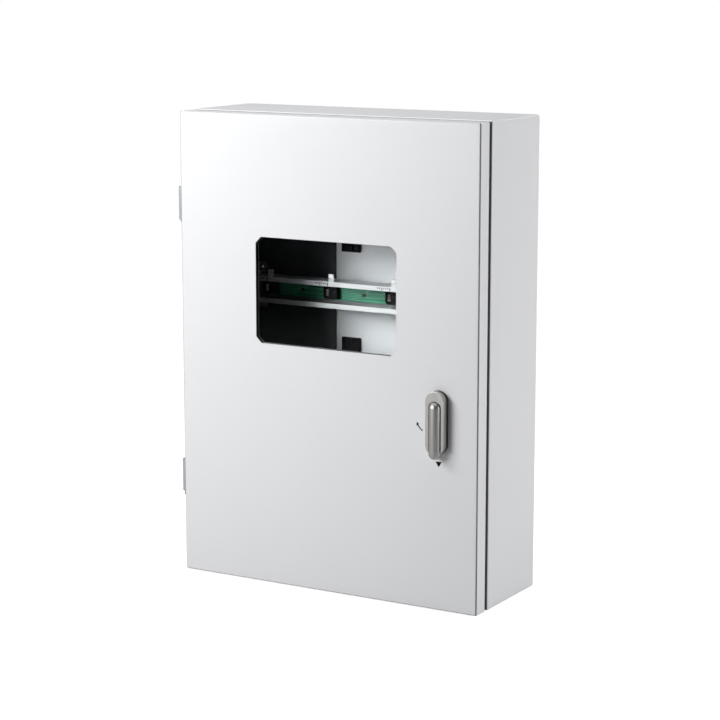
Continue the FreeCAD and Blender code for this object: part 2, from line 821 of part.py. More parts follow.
def handleLever():
    top = leverTopZ
    bottom = leverTopZ - leverLength
    r = leverRadius
    diagonal = r * math.sqrt(0.5)
    lowArc = (Vector(0, 0, bottom), Vector(diagonal, 0, bottom + r - diagonal), Vector(r, 0, bottom + r))
    highArc = (Vector(r, 0, top - r), Vector(diagonal, 0, top - r + diagonal), Vector(0, 0, top))
    profile = [
        Part.Arc(*lowArc).toShape(),
        Part.makeLine(Vector(r, 0, bottom + r), Vector(r, 0, top - r)),
        Part.Arc(*highArc).toShape(),
        Part.makeLine(Vector(0, 0, top), Vector(0, 0, bottom)),
    ]
    bar = Part.Face(Part.Wire(profile)).revolve(Vector(0, 0, 0), alongZ, 360)
    bar.translate(Vector(handleX, leverAxisY, 0))
    behind = block(handleX - r, handleX + r, leverBackY, leverAxisY + r, bottom, top)
    pinBore = rod(handleX - r, leverAxisY, leverPinZ, alongX, leverPinRadius + turnClearance, 2 * r)
    heelReach = pocketY - leverAxisY - leverHeelGap
    heel = block(-r, r, heelReach, 2 * r, -r, 2 * r)
    heel.rotate(Vector(0, 0, 0), alongX, leverLift)
    heel.translate(Vector(handleX, leverAxisY, leverPinZ))
    return bar.cut([behind, pinBore, heel])


# ---- printed marks ----
def positionMark():
    top = handleZ - handleLength / 2 - markBelowHandle
    points = [(handleX - markWidth / 2, top), (handleX + markWidth / 2, top), (handleX, top - markHeight)]
    return prismY(points, doorFrontY - markThickness, doorFrontY)


def turnArrow():
    centreX = handleX + arrowCentreX
    centreZ = handleZ + arrowCentreZ

    def point(radius, angle):
        turn = math.radians(angle)
        return (centreX + radius * math.cos(turn), centreZ + radius * math.sin(turn))

    frontY = doorFrontY - markThickness

    def arc(radius, start, end):
        ends = [Vector(x, frontY, z) for x, z in
                (point(radius, start), point(radius, (start + end) / 2), point(radius, end))]
        return Part.Arc(*ends).toShape()

    outer = arc(arrowRadius + arrowLine / 2, arrowTail, arrowNeck)
    inner = arc(arrowRadius - arrowLine / 2, arrowNeck, arrowTail)
    sides = [
        Part.makeLine(outer.Vertexes[-1].Point, inner.Vertexes[0].Point),
        Part.makeLine(inner.Vertexes[-1].Point, outer.Vertexes[0].Point),
    ]
    outline = Part.Wire([outer, sides[0], inner, sides[1]])
    line = Part.Face(outline).extrude(Vector(0, markThickness, 0))
    head = prismY(
        [
            point(arrowRadius + arrowHead / 2, arrowNeck),
            point(arrowRadius - arrowHead / 2, arrowNeck),
            point(arrowRadius, arrowTip),
        ],
        frontY, doorFrontY,
    )
    return fuse([line, head])


os.makedirs("parts", exist_ok=True)
inward = alongY
outward = Vector(0, -1, 0)

# cabinet pieces
save("body_shell", bodyShell())
gasketTopZ = bottomInnerZ + glandGasket
plateTopZ = gasketTopZ + glandPlate
save("gland_gasket", glandRing(bottomInnerZ, gasketTopZ, True))
save("gland_plate", glandRing(gasketTopZ, plateTopZ, False))
glandScrewLength = plateTopZ + halfHeight - glandScrewClearEnd
save("gland_plate_screws", [
    screw(x, y, plateTopZ, Vector(0, 0, -1), glandScrewRadius, glandScrewLength) for x, y in glandScrews
])
save("mounting_subpanel", mountingSubpanel())
save("subpanel_studs", [
    rod(x, -bodySheet, z, outward, panelStudRadius, panelStudLength) for x, z in panelStuds
])
save("subpanel_spacers", [
    rod(x, panelBackY, z, alongY, spacerRadius, panelStandoff).cut(
        rod(x, panelBackY, z, alongY, panelStudRadius + boreClearance, panelStandoff))
    for x, z in panelStuds
])
save("subpanel_washers", [washer(x, panelFrontY, z, outward, panelStudRadius) for x, z in panelStuds])
save("subpanel_nuts", [
    nut(x, panelFrontY - washerThickness, z, outward, panelStudRadius) for x, z in panelStuds
])
save("insulating_panel", insulatingPanel())
insulatorScrewLength = insulatorThickness + panelSheet + washerThickness
save("insulating_panel_screws", [
    screw(x, insulatorFrontY, z, inward, smallScrewRadius, insulatorScrewLength) for x, z in insulatorScrews
])
save("circuit_board_rail", circuitBoardRail())
save("rail_brackets", [railBracket(-bracketX), railBracket(bracketX)])
save("rail_bracket_screws", [
    screw(x, panelFrontY - bracketSheet, z, inward, smallScrewRadius, bracketScrewLength)
    for x, z in bracketFeet
])
save("rail_screws", [
    screw(x, webFrontY, railCentreZ, inward, smallScrewRadius, bracketScrewLength)
    for x in (-bracketX, bracketX)
])
save("board_insulator", boardLayer(stripFrontY, webFrontY))
save("circuit_board", boardLayer(boardFrontY, stripFrontY))
save("board_screws", [
    screw(x, boardFrontY, railCentreZ, inward, boardScrewRadius, boardScrewLength) for x in boardScrewXs
])
connectorXs = [x + connectorFromTab for x in tabXs]
save("board_connectors", [boardConnector(x) for x in connectorXs])
save("connector_contacts", [contact for x in connectorXs for contact in connectorContacts(x)])
save("upper_latch_clips", [latchClip(x, 1) for x in clipXs])
save("lower_latch_clips", [latchClip(x, -1) for x in clipXs])
barFrontY = panelFrontY - earthPostHeight - earthBarThickness
save("earth_bar", earthBar())
save("earth_bar_posts", [
    rod(x, panelFrontY, earthBarZ, outward, earthPostRadius, earthPostHeight).cut(
        rod(x, panelFrontY, earthBarZ, outward, smallScrewRadius + boreClearance, earthPostHeight))
    for x in earthPostXs
])
earthScrewLength = earthBarThickness + earthPostHeight + panelSheet + washerThickness
save("earth_bar_screws", [
    screw(x, barFrontY, earthBarZ, inward, smallScrewRadius, earthScrewLength) for x in earthPostXs
])
save("earth_terminal_screws", [
    screw(x, barFrontY, earthBarZ, inward, smallScrewRadius, earthBarThickness / 2 - smallScrewRadius)
    for x in earthTerminalXs
])
save("body_earth_stud", rod(bodyEarthX, -bodySheet, bodyEarthZ, outward, earthStudRadius, earthStudLength))
save("body_earth_washer", washer(bodyEarthX, -bodySheet, bodyEarthZ, outward, earthStudRadius))
save("body_earth_nut", nut(bodyEarthX, -bodySheet - washerThickness, bodyEarthZ, outward, earthStudRadius))

# hinge pieces
hingeZs = [-hingeCentreZ, hingeCentreZ]
hingeHeadX = -halfWidth - hingeSheet
save("hinge_body_leaves", [hingeBodyLeaf(z) for z in hingeZs])
save("hinge_pins", [
    rod(hingeAxisX, hingeAxisY, z - hingeLength / 2, alongZ, hingePinRadius, hingeLength) for z in hingeZs
])
save("hinge_body_screws", [
    screw(hingeHeadX, hingeBodyScrewY, z, alongX, hingeScrewRadius, hingeScrewLength) for z in hingeScrewZs
])
save("hinge_body_nuts", [
    nut(bodySheet - halfWidth, hingeBodyScrewY, z, alongX, hingeScrewRadius) for z in hingeScrewZs
])
save("hinge_door_leaves", [hingeDoorLeaf(z) for z in hingeZs])
save("hinge_door_screws", [
    screw(hingeHeadX, hingeDoorScrewY, z, alongX, hingeScrewRadius, hingeScrewLength) for z in hingeScrewZs
])
save("hinge_door_nuts", [
    nut(doorSheet - halfWidth, hingeDoorScrewY, z, alongX, hingeScrewRadius) for z in hingeScrewZs
])

# door pieces
save("door_panel", doorPanel())
save("door_gasket", doorGasket())
save("window_gasket", windowGasket())
save("window_pane", windowPane())
save("window_frame", windowFrame())
save("window_studs", [
    rod(x, doorInnerY, z, alongY, windowStudRadius, windowStudLength) for x, z in windowStuds
])
save("window_nuts", [nut(x, paneBackY + frameSheet, z, alongY, windowStudRadius) for x, z in windowStuds])
save("door_earth_stud", rod(doorEarthX, doorInnerY, doorEarthZ, alongY, earthStudRadius, earthStudLength))
save("door_earth_washer", washer(doorEarthX, doorInnerY, doorEarthZ, alongY, earthStudRadius))
save("door_earth_nut", nut(doorEarthX, doorInnerY + washerThickness, doorEarthZ, alongY, earthStudRadius))
save("position_mark", positionMark())
save("turn_arrow_mark", turnArrow())

# handle pieces
save("handle_base", handleBase())
save("handle_gasket", handleGasket())
save("handle_lock_nut", handleLockNut())
save("handle_rotor", handleRotor())
save("lever_pin", rod(
    handleX - leverPinHalfLength, leverAxisY, leverPinZ, alongX, leverPinRadius, 2 * leverPinHalfLength
))
save("latch_cam", latchCam())
save("cam_washer", washer(handleX, camBackY, handleZ, alongY, camScrewRadius))
save("cam_screw", screw(
    handleX, camBackY + washerThickness, handleZ, outward, camScrewRadius, camScrewLength
))
save("handle_lever", handleLever())
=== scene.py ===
import math
import bmesh
import bpy
from mathutils import Matrix, Vector


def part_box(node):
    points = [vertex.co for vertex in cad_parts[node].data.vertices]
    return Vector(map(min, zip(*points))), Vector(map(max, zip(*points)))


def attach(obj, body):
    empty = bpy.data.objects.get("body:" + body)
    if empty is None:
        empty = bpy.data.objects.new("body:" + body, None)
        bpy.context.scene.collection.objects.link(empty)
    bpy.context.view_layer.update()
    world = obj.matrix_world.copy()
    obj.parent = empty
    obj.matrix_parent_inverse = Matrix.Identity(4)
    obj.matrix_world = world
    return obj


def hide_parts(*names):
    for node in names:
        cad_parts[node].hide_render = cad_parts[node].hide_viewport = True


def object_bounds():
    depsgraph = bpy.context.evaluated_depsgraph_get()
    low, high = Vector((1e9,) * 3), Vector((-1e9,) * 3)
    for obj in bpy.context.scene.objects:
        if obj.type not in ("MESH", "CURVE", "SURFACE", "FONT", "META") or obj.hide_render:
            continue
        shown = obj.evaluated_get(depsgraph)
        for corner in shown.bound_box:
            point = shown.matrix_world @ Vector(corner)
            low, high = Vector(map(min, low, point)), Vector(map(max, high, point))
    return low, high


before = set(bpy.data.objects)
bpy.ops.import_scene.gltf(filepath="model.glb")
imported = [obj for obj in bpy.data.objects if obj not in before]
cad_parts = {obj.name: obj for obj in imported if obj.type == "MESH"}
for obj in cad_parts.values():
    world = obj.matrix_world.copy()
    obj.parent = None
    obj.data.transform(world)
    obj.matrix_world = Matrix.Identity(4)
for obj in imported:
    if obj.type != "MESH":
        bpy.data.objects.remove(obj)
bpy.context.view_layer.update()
print("frame loaded")


def addNode(tree, kind, **inputs):
    node = tree.nodes.new(kind)
    for name, value in inputs.items():
        if name in node.inputs:
            node.inputs[name].default_value = value
        else:
            setattr(node, name, value)
    return node


def newMaterial(name):
    mat = bpy.data.materials.new(name)
    mat.use_nodes = True
    tree = mat.node_tree
    tree.nodes.clear()
    out = tree.nodes.new("ShaderNodeOutputMaterial")
    shader = tree.nodes.new("ShaderNodeBsdfPrincipled")
    tree.links.new(shader.outputs["BSDF"], out.inputs["Surface"])
    coords = tree.nodes.new("ShaderNodeTexCoord")
    return mat, tree, shader, coords.outputs["Object"]


def nodeOf(mat, kind):
    return next(node for node in mat.node_tree.nodes if node.type == kind)


def tintWhere(mat, mask, tint):
    # multiplies the colour by the tint where the mask is 1
    tree = mat.node_tree
    shader = nodeOf(mat, "BSDF_PRINCIPLED")
    plain = shader.inputs["Base Color"].links[0].from_socket
    tinted = addNode(tree, "ShaderNodeMix", data_type="RGBA", blend_type="MULTIPLY")
    tree.links.new(mask, tinted.inputs["Factor"])
    tree.links.new(plain, tinted.inputs[6])
    tinted.inputs[7].default_value = tint
    tree.links.new(tinted.outputs[2], shader.inputs["Base Color"])


def give(mat, *nodes):
    for node in nodes:
        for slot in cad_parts[node].material_slots:
            slot.material = mat


def makeGroup(name, inputs, outputs):
    group = bpy.data.node_groups.new(name, "ShaderNodeTree")
    for label, kind, value in inputs:
        socket = group.interface.new_socket(label, in_out="INPUT", socket_type=kind)
        if value is not None:
            socket.default_value = value
    for label, kind in outputs:
        group.interface.new_socket(label, in_out="OUTPUT", socket_type=kind)
    start = group.nodes.new("NodeGroupInput")
    end = group.nodes.new("NodeGroupOutput")
    return group, start, end


def rangeOf(tree, socket, low, high):
    # 0 where the socket is at low, 1 where it is at high
    pick = tree.nodes.new("ShaderNodeMapRange")
    pick.inputs["From Min"].default_value = low
    pick.inputs["From Max"].default_value = high
    tree.links.new(socket, pick.inputs["Value"])
    return pick.outputs["Result"]


def blendOf(group, first, second, share):
    blend = addNode(group, "ShaderNodeMix", data_type="FLOAT")
    blend.inputs[0].default_value = share
    group.links.new(first, blend.inputs[2])
    group.links.new(second, blend.inputs[3])
    return blend.outputs[0]


def putColour(group, start, end, factor, otherColour):
    tint = addNode(group, "ShaderNodeMix", data_type="RGBA")
    group.links.new(factor, tint.inputs["Factor"])
    group.links.new(start.outputs["Colour"], tint.inputs[6])
    group.links.new(start.outputs[otherColour], tint.inputs[7])
    group.links.new(tint.outputs[2], end.inputs["Colour"])


def putRoughness(group, start, end, socket, spread):
    rough = addNode(group, "ShaderNodeMath", operation="MULTIPLY_ADD")
    rough.inputs[1].default_value = spread
    group.links.new(socket, rough.inputs[0])
    group.links.new(start.outputs["Roughness"], rough.inputs[2])
    group.links.new(rough.outputs[0], end.inputs["Roughness"])


def makePowderCoat():
    # orange peel and fine speckle of a stoved powder coat
    group, start, end = makeGroup("powderCoat", [
        ("Coords", "NodeSocketVector", None),
        ("Colour", "NodeSocketColor", (0.8, 0.8, 0.8, 1)),
        ("Deep Colour", "NodeSocketColor", (0.7, 0.7, 0.7, 1)),
        ("Peel Scale", "NodeSocketFloat", 500.0),
        ("Speckle Scale", "NodeSocketFloat", 2600.0),
        ("Roughness", "NodeSocketFloat", 0.45),
    ], [("Colour", "NodeSocketColor"), ("Roughness", "NodeSocketFloat"), ("Height", "NodeSocketFloat")])
    link = group.links.new
    peel = addNode(group, "ShaderNodeTexNoise", Detail=3.0, Roughness=0.55)
    speckle = addNode(group, "ShaderNodeTexNoise", Detail=2.0, Roughness=0.6)
    clouds = addNode(group, "ShaderNodeTexNoise", Scale=6.0, Detail=3.0, Roughness=0.5)
    for tex in (peel, speckle, clouds):
        link(start.outputs["Coords"], tex.inputs["Vector"])
    link(start.outputs["Peel Scale"], peel.inputs["Scale"])
    link(start.outputs["Speckle Scale"], speckle.inputs["Scale"])
    both = blendOf(group, clouds.outputs["Fac"], speckle.outputs["Fac"], 0.55)
    putColour(group, start, end, rangeOf(group, both, 0.35, 0.75), "Deep Colour")
    putRoughness(group, start, end, clouds.outputs["Fac"], 0.10)
    height = addNode(group, "ShaderNodeMath", operation="MULTIPLY_ADD")
    height.inputs[1].default_value = 0.35
    link(speckle.outputs["Fac"], height.inputs[0])
    link(peel.outputs["Fac"], height.inputs[2])
    link(height.outputs[0], end.inputs["Height"])
    return group


def makeBrushed():
    # long fine scratches along one axis with slow stains
    group, start, end = makeGroup("brushedMetal", [
        ("Coords", "NodeSocketVector", None),
        ("Colour", "NodeSocketColor", (0.6, 0.6, 0.6, 1)),
        ("Dark Colour", "NodeSocketColor", (0.4, 0.4, 0.4, 1)),
        ("Across", "NodeSocketVector", (1.0, 1.0, 0.05)),
        ("Grain Scale", "NodeSocketFloat", 1800.0),
        ("Stain Scale", "NodeSocketFloat", 120.0),
        ("Roughness", "NodeSocketFloat", 0.3),
    ], [("Colour", "NodeSocketColor"), ("Roughness", "NodeSocketFloat"), ("Height", "NodeSocketFloat")])
    link = group.links.new
    stretch = addNode(group, "ShaderNodeVectorMath", operation="MULTIPLY")
    link(start.outputs["Coords"], stretch.inputs[0])
    link(start.outputs["Across"], stretch.inputs[1])
    grain = addNode(group, "ShaderNodeTexNoise", Detail=4.0, Roughness=0.65)
    link(stretch.outputs[0], grain.inputs["Vector"])
    link(start.outputs["Grain Scale"], grain.inputs["Scale"])
    stain = addNode(group, "ShaderNodeTexNoise", Detail=3.0)
    link(stretch.outputs[0], stain.inputs["Vector"])
    link(start.outputs["Stain Scale"], stain.inputs["Scale"])
    both = blendOf(group, grain.outputs["Fac"], stain.outputs["Fac"], 0.45)
    putColour(group, start, end, rangeOf(group, both, 0.35, 0.7), "Dark Colour")
    putRoughness(group, start, end, both, 0.16)
    link(grain.outputs["Fac"], end.inputs["Height"])
    return group


def makeMoulded():
    # fine spark-eroded grain of moulded plastic, rubber and foam
    group, start, end = makeGroup("mouldedGrain", [
        ("Coords", "NodeSocketVector", None),
        ("Colour", "NodeSocketColor", (0.05, 0.05, 0.05, 1)),
        ("Worn Colour", "NodeSocketColor", (0.1, 0.1, 0.1, 1)),
        ("Grain Scale", "NodeSocketFloat", 3500.0),
        ("Roughness", "NodeSocketFloat", 0.5),
    ], [("Colour", "NodeSocketColor"), ("Roughness", "NodeSocketFloat"), ("Height", "NodeSocketFloat")])
    link = group.links.new
    grain = addNode(group, "ShaderNodeTexVoronoi", feature="SMOOTH_F1")
    link(start.outputs["Coords"], grain.inputs["Vector"])
    link(start.outputs["Grain Scale"], grain.inputs["Scale"])
    slow = addNode(group, "ShaderNodeTexNoise", Scale=30.0, Detail=4.0)
    link(start.outputs["Coords"], slow.inputs["Vector"])
    putColour(group, start, end, rangeOf(group, slow.outputs["Fac"], 0.4, 0.8), "Worn Colour")
    putRoughness(group, start, end, slow.outputs["Fac"], 0.15)
    link(grain.outputs["Distance"], end.inputs["Height"])
    return group


def makeEdgeRubAndLight():
    # mask of rubbed edges, which on the enclosure carries a painted highlight on the body's bends and
    # painted shade on the door's edges: where a softened normal leaves the true one, broken up by noise
    group, start, end = makeGroup("edgeRubAndLight", [
        ("Coords", "NodeSocketVector", None),
        ("Colour", "NodeSocketColor", (0.8, 0.8, 0.8, 1)),
        ("Edge Colour", "NodeSocketColor", (0.9, 0.9, 0.9, 1)),
        ("Radius", "NodeSocketFloat", 0.0008),
        ("Amount", "NodeSocketFloat", 0.6),
    ], [("Colour", "NodeSocketColor"), ("Mask", "NodeSocketFloat")])
    link = group.links.new
    soft = addNode(group, "ShaderNodeBevel", samples=2)
    link(start.outputs["Radius"], soft.inputs["Radius"])
    true = group.nodes.new("ShaderNodeNewGeometry")
    along = addNode(group, "ShaderNodeVectorMath", operation="DOT_PRODUCT")
    link(soft.outputs["Normal"], along.inputs[0])
    link(true.outputs["Normal"], along.inputs[1])
    away = rangeOf(group, along.outputs["Value"], 0.995, 0.8)
    breakUp = addNode(group, "ShaderNodeTexNoise", Scale=160.0, Detail=4.0, Roughness=0.7)
    link(start.outputs["Coords"], breakUp.inputs["Vector"])
    brokenUp = rangeOf(group, breakUp.outputs["Fac"], 0.28, 0.52)
    edgeTone = addNode(group, "ShaderNodeMath", operation="MULTIPLY")
    link(away, edgeTone.inputs[0])
    link(brokenUp, edgeTone.inputs[1])
    mask = addNode(group, "ShaderNodeMath", operation="MULTIPLY", use_clamp=True)
    link(edgeTone.outputs[0], mask.inputs[0])
    link(start.outputs["Amount"], mask.inputs[1])
    putColour(group, start, end, mask.outputs[0], "Edge Colour")
    link(mask.outputs[0], end.inputs["Mask"])
    return group


def makeInnerFace():
    # 1 on the faces inside a folded sheet shell, 0 outside, by their place in the object; it marks where
    # the inside shade is painted
    group, start, end = makeGroup("innerFace", [
        ("Coords", "NodeSocketVector", None),
        ("Half X", "NodeSocketFloat", 0.0),
        ("Half Z", "NodeSocketFloat", 0.0),
        ("Front Y", "NodeSocketFloat", 0.0),
        ("Back Y", "NodeSocketFloat", 0.0),
    ], [("Mask", "NodeSocketFloat")])
    link = group.links.new
    parts = group.nodes.new("ShaderNodeSeparateXYZ")
    link(start.outputs["Coords"], parts.inputs[0])
    tests = []
    for axis, limit in (("X", "Half X"), ("Z", "Half Z")):
        size = addNode(group, "ShaderNodeMath", operation="ABSOLUTE")
        link(parts.outputs[axis], size.inputs[0])
        test = addNode(group, "ShaderNodeMath", operation="LESS_THAN")
        link(size.outputs[0], test.inputs[0])
        link(start.outputs[limit], test.inputs[1])
        tests.append(test)
    for operation, limit in (("GREATER_THAN", "Front Y"), ("LESS_THAN", "Back Y")):
        test = addNode(group, "ShaderNodeMath", operation=operation)
        link(parts.outputs["Y"], test.inputs[0])
        link(start.outputs[limit], test.inputs[1])
        tests.append(test)
    mask = tests[0]
    for test in tests[1:]:
        both = addNode(group, "ShaderNodeMath", operation="MULTIPLY")
        link(mask.outputs[0], both.inputs[0])
        link(test.outputs[0], both.inputs[1])
        mask = both
    link(mask.outputs[0], end.inputs["Mask"])
    return group


powderCoat = makePowderCoat()
brushedMetal = makeBrushed()
mouldedGrain = makeMoulded()
edgeRubAndLight = makeEdgeRubAndLight()
innerFace = makeInnerFace()


def surface(name, group, bumpDistance, bumpStrength, shaderValues, edgeTone=None, **values):
    mat, tree, shader, coords = newMaterial(name)
    use = tree.nodes.new("ShaderNodeGroup")
    use.node_tree = group
    tree.links.new(coords, use.inputs["Coords"])
    for label, value in values.items():
        use.inputs[label.replace("_", " ")].default_value = value
    colour = use.outputs["Colour"]
    if edgeTone:  # (edge colour, radius, amount)
        edgeNode = tree.nodes.new("ShaderNodeGroup")
        edgeNode.node_tree = edgeRubAndLight
        tree.links.new(coords, edgeNode.inputs["Coords"])
        tree.links.new(colour, edgeNode.inputs["Colour"])
        edgeNode.inputs["Edge Colour"].default_value = edgeTone[0]
        edgeNode.inputs["Radius"].default_value = edgeTone[1]
        edgeNode.inputs["Amount"].default_value = edgeTone[2]
        colour = edgeNode.outputs["Colour"]
    tree.links.new(colour, shader.inputs["Base Color"])
    tree.links.new(use.outputs["Roughness"], shader.inputs["Roughness"])
    bump = addNode(tree, "ShaderNodeBump", Strength=bumpStrength, Distance=bumpDistance)
    tree.links.new(use.outputs["Height"], bump.inputs["Height"])
    tree.links.new(bump.outputs["Normal"], shader.inputs["Normal"])
    for label, value in shaderValues.items():
        shader.inputs[label].default_value = value
    return mat


def letLampLightThrough(mat, tint):
    tree = mat.node_tree
    out = nodeOf(mat, "OUTPUT_MATERIAL")
    shader = nodeOf(mat, "BSDF_PRINCIPLED")
    clear = addNode(tree, "ShaderNodeBsdfTransparent", Color=tint)
    path = tree.nodes.new("ShaderNodeLightPath")
    mix = tree.nodes.new("ShaderNodeMixShader")
    tree.links.new(path.outputs["Is Shadow Ray"], mix.inputs["Fac"])
    tree.links.new(shader.outputs["BSDF"], mix.inputs[1])
    tree.links.new(clear.outputs["BSDF"], mix.inputs[2])
    tree.links.new(mix.outputs["Shader"], out.inputs["Surface"])


paintLook = {
    "colour": (0.80, 0.805, 0.82, 1), "deepColour": (0.775, 0.78, 0.80, 1), "roughness": 0.42,
    # painted shade for the faces inside the shell and the door and in the gap behind the door
    "insideShadeTint": (0.14, 0.14, 0.145, 1),
    # edge colour, radius, amount: the body's bends get a painted highlight, the door's edges a painted dark
    # reflection
    "bodyEdgeHighlight": ((0.93, 0.935, 0.94, 1), 0.0012, 0.8),
    "doorEdgeShade": ((0.2, 0.205, 0.21, 1), 0.0011, 0.75),
    # how far the painted inside shade goes, the body's reaching forward over its lip in the gap behind the
    # door: half width, half height, front and back
    "bodyInside": {"Half X": 0.2487, "Half Z": 0.3487, "Front Y": -0.17, "Back Y": -0.0008},
    "doorInside": {"Half X": 0.2487, "Half Z": 0.3477, "Front Y": -0.1852, "Back Y": -0.1608},
}


def makeEnclosurePaint(name, edgeTone, inside):
    mat = surface(
        name, powderCoat, 0.00006, 0.25, {"Specular IOR Level": 0.4, "Coat Weight": 0.05},
        edgeTone=edgeTone,
        Colour=paintLook["colour"], Deep_Colour=paintLook["deepColour"], Roughness=paintLook["roughness"],
    )
    # painted shade inside the folded shell, where little light reaches
    tree = mat.node_tree
    face = tree.nodes.new("ShaderNodeGroup")
    face.node_tree = innerFace
    tree.links.new(nodeOf(mat, "TEX_COORD").outputs["Object"], face.inputs["Coords"])
    for label, value in inside.items():
        face.inputs[label].default_value = value
    tintWhere(mat, face.outputs["Mask"], paintLook["insideShadeTint"])
    return mat


bendLook = {
    "tint": (0.22, 0.22, 0.23, 1),
    # the normal's Y where the shade begins and is full, from the front and from the return
    "fromFront": (-0.98, -0.85), "fromReturn": (-0.15, -0.35),
    "levelShare": 0.35, "uprightFrom": 0.25,  # level bends have less of it than upright ones
}


def addBendShade(mat):
    # painted dark reflection over the bends between the front and the returns
    tree = mat.node_tree
    facing = tree.nodes.new("ShaderNodeNewGeometry")
    parts = tree.nodes.new("ShaderNodeSeparateXYZ")
    tree.links.new(facing.outputs["Normal"], parts.inputs[0])
    both = addNode(tree, "ShaderNodeMath", operation="MULTIPLY")
    for i, limits in enumerate((bendLook["fromFront"], bendLook["fromReturn"])):
        tree.links.new(rangeOf(tree, parts.outputs["Y"], *limits), both.inputs[i])
    sideways = addNode(tree, "ShaderNodeMath", operation="ABSOLUTE")
    tree.links.new(parts.outputs["X"], sideways.inputs[0])
    upright = rangeOf(tree, sideways.outputs[0], 0.0, bendLook["uprightFrom"])
    upright.node.inputs["To Min"].default_value = bendLook["levelShare"]
    amount = addNode(tree, "ShaderNodeMath", operation="MULTIPLY")
    tree.links.new(both.outputs[0], amount.inputs[0])
    tree.links.new(upright, amount.inputs[1])
    tintWhere(mat, amount.outputs[0], bendLook["tint"])


channelLook = {"tint": (0.3, 0.3, 0.31, 1), "behindLips": -0.0796, "belowTop": 0.0948}


def addChannelShade(mat):
    # painted shade in the recessed channel behind the lips, darker than the lips and the top
    tree = mat.node_tree
    parts = tree.nodes.new("ShaderNodeSeparateXYZ")
    tree.links.new(nodeOf(mat, "TEX_COORD").outputs["Object"], parts.inputs[0])
    both = addNode(tree, "ShaderNodeMath", operation="MULTIPLY")
    limits = (("Y", "GREATER_THAN", "behindLips"), ("Z", "LESS_THAN", "belowTop"))
    for i, (axis, operation, limit) in enumerate(limits):
        test = addNode(tree, "ShaderNodeMath", operation=operation)
        tree.links.new(parts.outputs[axis], test.inputs[0])
        test.inputs[1].default_value = channelLook[limit]
        tree.links.new(test.outputs[0], both.inputs[i])
    tintWhere(mat, both.outputs[0], channelLook["tint"])


bodyPaint = makeEnclosurePaint("bodyPaint", paintLook["bodyEdgeHighlight"], paintLook["bodyInside"])
doorPaint = makeEnclosurePaint("doorPaint", paintLook["doorEdgeShade"], paintLook["doorInside"])
addBendShade(doorPaint)
platePaint = surface(
    "platePaint", powderCoat, 0.00006, 0.25, {"Specular IOR Level": 0.35},
    edgeTone=((0.6, 0.61, 0.62, 1), 0.0006, 0.4),
    Colour=(0.76, 0.77, 0.79, 1), Deep_Colour=(0.72, 0.73, 0.75, 1), Roughness=0.5,
)
railMetal = surface(
    "railMetal", brushedMetal, 0.00003, 0.15, {"Metallic": 0.2, "Specular IOR Level": 0.5},
    edgeTone=((0.95, 0.95, 0.95, 1), 0.0006, 0.6),
    Colour=(0.66, 0.665, 0.675, 1), Dark_Colour=(0.5, 0.505, 0.52, 1), Across=(0.02, 1.0, 1.0),
    Grain_Scale=1500.0, Stain_Scale=500.0, Roughness=0.28,
)
addChannelShade(railMetal)
hingePaint = surface(
    "hingePaint", powderCoat, 0.00005, 0.2, {"Specular IOR Level": 0.4},
    edgeTone=((0.6, 0.61, 0.62, 1), 0.0005, 0.6),
    Colour=(0.42, 0.43, 0.45, 1), Deep_Colour=(0.36, 0.37, 0.39, 1), Roughness=0.4,
)
nickel = surface(
    "satinNickel", brushedMetal, 0.00002, 0.15, {"Metallic": 1.0},
    edgeTone=((0.72, 0.71, 0.7, 1), 0.0005, 0.8),
    Colour=(0.52, 0.515, 0.505, 1), Dark_Colour=(0.42, 0.415, 0.405, 1), Across=(1.0, 1.0, 0.06),
    Roughness=0.36,
)
zinc = surface(
    "brightZinc", brushedMetal, 0.00002, 0.2, {"Metallic": 1.0},
    Colour=(0.66, 0.67, 0.68, 1), Dark_Colour=(0.5, 0.51, 0.53, 1), Across=(1.0, 1.0, 1.0),
    Grain_Scale=900.0, Roughness=0.3,
)
darkScrew = surface(
    "darkScrew", brushedMetal, 0.00002, 0.2, {"Metallic": 1.0},
    edgeTone=((0.3, 0.28, 0.27, 1), 0.0003, 0.5),
    Colour=(0.075, 0.06, 0.058, 1), Dark_Colour=(0.04, 0.035, 0.035, 1), Across=(1.0, 1.0, 1.0),
    Grain_Scale=900.0, Roughness=0.35,
)
brass = surface(
    "bareBrass", brushedMetal, 0.00002, 0.2, {"Metallic": 1.0},
    Colour=(0.72, 0.5, 0.2, 1), Dark_Colour=(0.55, 0.36, 0.13, 1), Across=(0.05, 1.0, 1.0), Roughness=0.3,
)
paleContact = surface(
    "paleContact", brushedMetal, 0.00001, 0.1, {"Metallic": 0.1},
    Colour=(0.9, 0.87, 0.78, 1), Dark_Colour=(0.78, 0.74, 0.62, 1), Across=(1.0, 0.1, 1.0), Roughness=0.3,
)
blackSheet = surface(
    "blackSheet", mouldedGrain, 0.00004, 0.2, {"Specular IOR Level": 0.3},
    Colour=(0.05, 0.052, 0.058, 1), Worn_Colour=(0.07, 0.072, 0.08, 1), Grain_Scale=1800.0, Roughness=0.55,
)
blackMoulding = surface(
    "blackMoulding", mouldedGrain, 0.00003, 0.2, {"Specular IOR Level": 0.12},
    edgeTone=((0.03, 0.03, 0.032, 1), 0.0004, 0.5),
    Colour=(0.006, 0.006, 0.007, 1), Worn_Colour=(0.012, 0.012, 0.0135, 1), Roughness=0.55,
)
rubberSeal = surface(
    "rubberSeal", mouldedGrain, 0.00005, 0.3, {"Specular IOR Level": 0.3},
    Colour=(0.02, 0.02, 0.021, 1), Worn_Colour=(0.04, 0.04, 0.041, 1), Grain_Scale=2500.0, Roughness=0.65,
)
